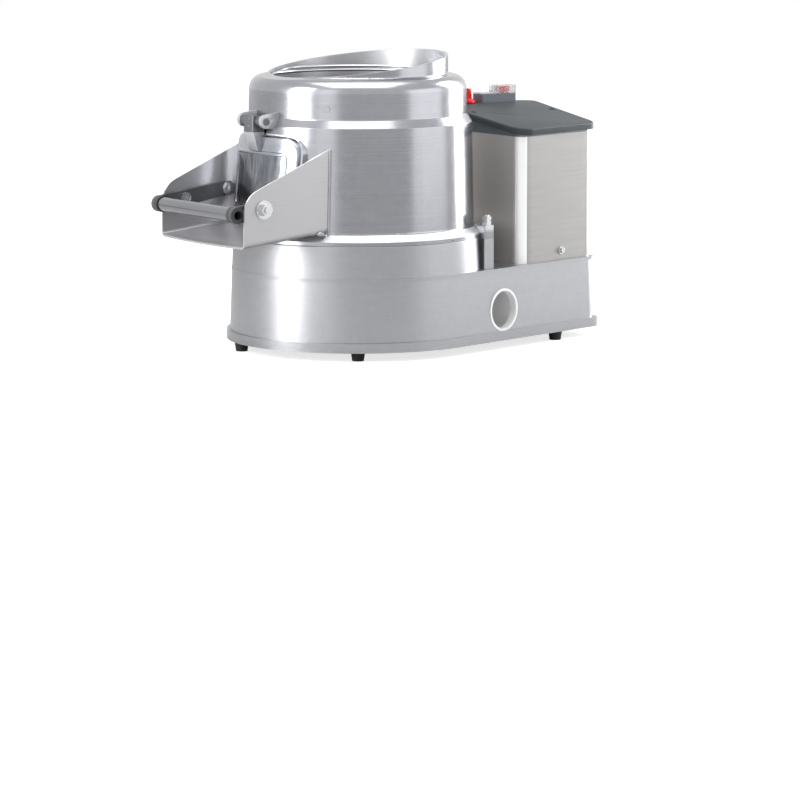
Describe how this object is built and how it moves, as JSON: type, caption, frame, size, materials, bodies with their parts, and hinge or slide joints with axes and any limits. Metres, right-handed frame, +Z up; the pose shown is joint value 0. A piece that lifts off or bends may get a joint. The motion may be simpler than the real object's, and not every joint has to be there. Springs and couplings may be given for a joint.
{
  "type": "potato peeler machine",
  "caption": "Bench-top abrasive vegetable peeler: round vessel on a cast base, tilted discharge door with chute and bail handle, belt drive, motor housing with timer.",
  "frame": {"origin": "on the surface the machine stands on, midway along its overall length and width", "axes": "+Z up, -Y the front with the chute and door, +Y the rear with the motor, +X the side with the drain"},
  "size_m": [0.39, 0.676, 0.4336],
  "materials": {
    "cast_paint": "satin light grey powder coat on cast aluminium",
    "polished_cast": "polished cast aluminium",
    "satin_cast": "satin cast aluminium",
    "brushed_sheet": "brushed stainless sheet",
    "grey_plate": "dark grey satin",
    "bright_steel": "bright zinc plated steel",
    "machined_steel": "machined steel",
    "black_rubber": "moulded black rubber",
    "white_plastic": "white pipe plastic",
    "grey_cover": "fine grained dark grey moulding",
    "black_plastic": "satin black moulding",
    "red_plastic": "red moulding",
    "green_plastic": "green moulding",
    "clear_boot": "clear flexible moulding",
    "abrasive": "bonded grit",
    "cast_iron_grey": "cast iron"
  },
  "bodies": {
    "machine": {"abrasive_liner": "abrasive", "base_casting": "cast_paint", "bearing_outer_rings": "machined_steel", "bearing_spacer": "machined_steel", "bottom_plate": "grey_plate", "cable_gland": "black_plastic", "capacitor": "black_plastic", "chute": "brushed_sheet", "clamp_hooks": "satin_cast", "clamp_nuts": "bright_steel", "clamp_studs": "bright_steel", "cover": "grey_cover", "cover_screws": "bright_steel", "door_frame": "satin_cast", "door_gasket": "black_rubber", "drain_sleeve": "white_plastic", "drive_belt": "black_rubber", "fan_cowl": "black_plastic", "flange_seal": "black_rubber", "foot_screws": "bright_steel", "hinge_ears": "satin_cast", "hinge_pin": "bright_steel", "housing_screws": "bright_steel", "motor_bolts": "bright_steel", "motor_frame": "cast_iron_grey", "motor_housing": "brushed_sheet", "motor_plate": "machined_steel", "pivot_bolts": "bright_steel", "pivot_nuts": "bright_steel", "pivot_washers": "bright_steel", "rubber_feet": "black_rubber", "shaft_seal": "black_rubber", "splash_boot": "clear_boot", "switch_box": "black_plastic", "timer_body": "black_plastic", "vessel_casting": "satin_cast", "vessel_plug": "bright_steel"},
    "plate_drive": {"drive_shaft": "machined_steel", "bearing_inner_rings": "machined_steel", "driven_pulley": "cast_iron_grey", "pulley_nut": "machined_steel", "peeling_plate": "cast_iron_grey", "abrasive_disc": "abrasive", "plate_cap": "machined_steel", "waste_sweeper": "cast_iron_grey"},
    "motor_rotor": {"motor_shaft": "machined_steel", "motor_pulley": "cast_iron_grey"},
    "door": {"door_pan": "polished_cast", "hinge_strap": "brushed_sheet", "strap_rivets": "bright_steel"},
    "bail": {"bail_arms": "grey_plate", "bail_tube": "brushed_sheet", "bail_bushes": "black_plastic", "rear_bolts": "bright_steel"},
    "timer": {"timer_knob": "red_plastic"},
    "start": {"start_button": "green_plastic"},
    "stop": {"stop_button": "red_plastic"}
  },
  "joints": [
    {"name": "plate_spin", "type": "hinge", "parent": "machine", "child": "plate_drive", "pos_m": [0, -0.05, 0.15], "axis": [0, 0, 1], "continuous": true},
    {"name": "motor_spin", "type": "hinge", "parent": "machine", "child": "motor_rotor", "pos_m": [0, 0.24, 0.09], "axis": [0, 0, 1], "continuous": true},
    {"name": "door_hinge", "type": "hinge", "parent": "machine", "child": "door", "pos_m": [0, -0.229, 0.34], "axis": [-1, 0, 0], "range_deg": [0, 70]},
    {"name": "bail_pivot", "type": "hinge", "parent": "machine", "child": "bail", "pos_m": [0, -0.2857, 0.2235], "axis": [1, 0, 0], "range_deg": [0, 25]},
    {"name": "timer_turn", "type": "hinge", "parent": "machine", "child": "timer", "pos_m": [-0.086, 0.198, 0.35], "axis": [0, 0, -1], "range_deg": [0, 300]},
    {"name": "start_press", "type": "slide", "parent": "machine", "child": "start", "axis": [0, 0, -1], "range_m": [0, 0.002], "stiffness_N_per_m": 600, "springref_m": -0.001},
    {"name": "stop_press", "type": "slide", "parent": "machine", "child": "stop", "axis": [0, 0, -1], "range_m": [0, 0.003], "stiffness_N_per_m": 600, "springref_m": -0.001}
  ],
  "couplings": [
    {"joint": "motor_spin", "follows": "plate_spin", "ratio": 3.8636}
  ]
}
